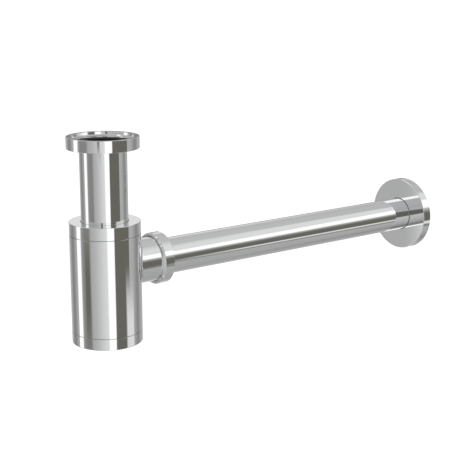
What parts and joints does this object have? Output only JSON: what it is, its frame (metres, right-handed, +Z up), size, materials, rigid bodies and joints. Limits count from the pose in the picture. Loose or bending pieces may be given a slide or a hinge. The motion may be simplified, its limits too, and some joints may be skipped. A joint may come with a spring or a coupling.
{
  "type": "bottle trap",
  "caption": "Round chromed bottle trap for a washbasin, with a union-nut inlet tube, a screwed cleaning bowl, and a horizontal outlet tube to a wall flange.",
  "frame": {"origin": "centre of the inlet washer's top face, on the axis of the inlet tube, where the basin waste seals", "axes": "+Z up along the inlet tube, +X along the outlet tube towards the wall"},
  "size_m": [0.3964, 0.072, 0.1764],
  "materials": {
    "chrome": "polished chrome plate on brass",
    "raw_brass": "turned, unplated",
    "rubber": "matt black rubber",
    "slip_plastic": "natural white polyethylene"
  },
  "bodies": {
    "inlet": {"dip_tube": "chrome", "inlet_washer": "rubber"},
    "inlet_slip_ring": {"inlet_slip_ring": "slip_plastic"},
    "inlet_nut": {"inlet_nut": "chrome"},
    "cap_cone_seal": {"cap_cone_seal": "rubber"},
    "bottle": {"bottle_shell": "chrome", "top_collar": "raw_brass", "base_ring": "raw_brass", "outlet_spigot": "chrome"},
    "cap_slip_washer": {"cap_slip_washer": "slip_plastic"},
    "cap_nut": {"cap_nut": "chrome"},
    "bowl_seal": {"bowl_seal": "rubber"},
    "cleaning_bowl": {"cleaning_bowl": "chrome"},
    "outlet_slip_washer": {"outlet_slip_washer": "slip_plastic"},
    "outlet_nut": {"outlet_nut": "chrome"},
    "outlet_cone_seal": {"outlet_cone_seal": "rubber"},
    "outlet_tube": {"outlet_tube": "chrome"},
    "flange_grip_ring": {"flange_grip_ring": "rubber"},
    "wall_flange": {"wall_flange": "chrome"}
  },
  "joints": [
    {"name": "inlet_nut_drop", "type": "slide", "parent": "inlet", "child": "inlet_slip_ring", "axis": [0, 0, 1], "range_m": [-0.048, 0]},
    {"name": "inlet_nut_turn", "type": "hinge", "parent": "inlet_slip_ring", "child": "inlet_nut", "pos_m": [0, 0, 0], "axis": [0, 0, 1], "continuous": true},
    {"name": "bottle_height", "type": "slide", "parent": "inlet", "child": "cap_cone_seal", "axis": [0, 0, 1], "range_m": [-0.025, 0.006]},
    {"name": "bottle_swivel", "type": "hinge", "parent": "cap_cone_seal", "child": "bottle", "pos_m": [0, 0, -0.107], "axis": [0, 0, 1], "continuous": true},
    {"name": "cap_nut_rise", "type": "slide", "parent": "bottle", "child": "cap_slip_washer", "axis": [0, 0, 1], "range_m": [0, 0.006]},
    {"name": "cap_nut_unscrew", "type": "hinge", "parent": "cap_slip_washer", "child": "cap_nut", "pos_m": [0, 0, -0.072], "axis": [0, 0, 1], "range_deg": [0, 1080]},
    {"name": "bowl_drop", "type": "slide", "parent": "bottle", "child": "bowl_seal", "axis": [0, 0, -1], "range_m": [0, 0.006]},
    {"name": "bowl_unscrew", "type": "hinge", "parent": "bowl_seal", "child": "cleaning_bowl", "pos_m": [0, 0, -0.167], "axis": [0, 0, -1], "range_deg": [0, 1080]},
    {"name": "outlet_nut_back", "type": "slide", "parent": "bottle", "child": "outlet_slip_washer", "axis": [1, 0, 0], "range_m": [0, 0.006]},
    {"name": "outlet_nut_unscrew", "type": "hinge", "parent": "outlet_slip_washer", "child": "outlet_nut", "pos_m": [0.05, 0, -0.107], "axis": [1, 0, 0], "range_deg": [0, 1080]},
    {"name": "outlet_tube_turn", "type": "hinge", "parent": "bottle", "child": "outlet_cone_seal", "pos_m": [0.05, 0, -0.107], "axis": [1, 0, 0], "continuous": true},
    {"name": "outlet_tube_depth", "type": "slide", "parent": "outlet_cone_seal", "child": "outlet_tube", "axis": [1, 0, 0], "range_m": [-0.012, 0.01]},
    {"name": "flange_slide", "type": "slide", "parent": "outlet_tube", "child": "flange_grip_ring", "axis": [1, 0, 0], "range_m": [-0.27, 0]},
    {"name": "flange_turn", "type": "hinge", "parent": "flange_grip_ring", "child": "wall_flange", "pos_m": [0.355, 0, -0.107], "axis": [1, 0, 0], "continuous": true}
  ],
  "couplings": [
    {"joint": "cap_nut_rise", "follows": "cap_nut_unscrew", "m_per_rad": 0.00031831},
    {"joint": "bowl_drop", "follows": "bowl_unscrew", "m_per_rad": 0.00031831},
    {"joint": "outlet_nut_back", "follows": "outlet_nut_unscrew", "m_per_rad": 0.00031831}
  ]
}
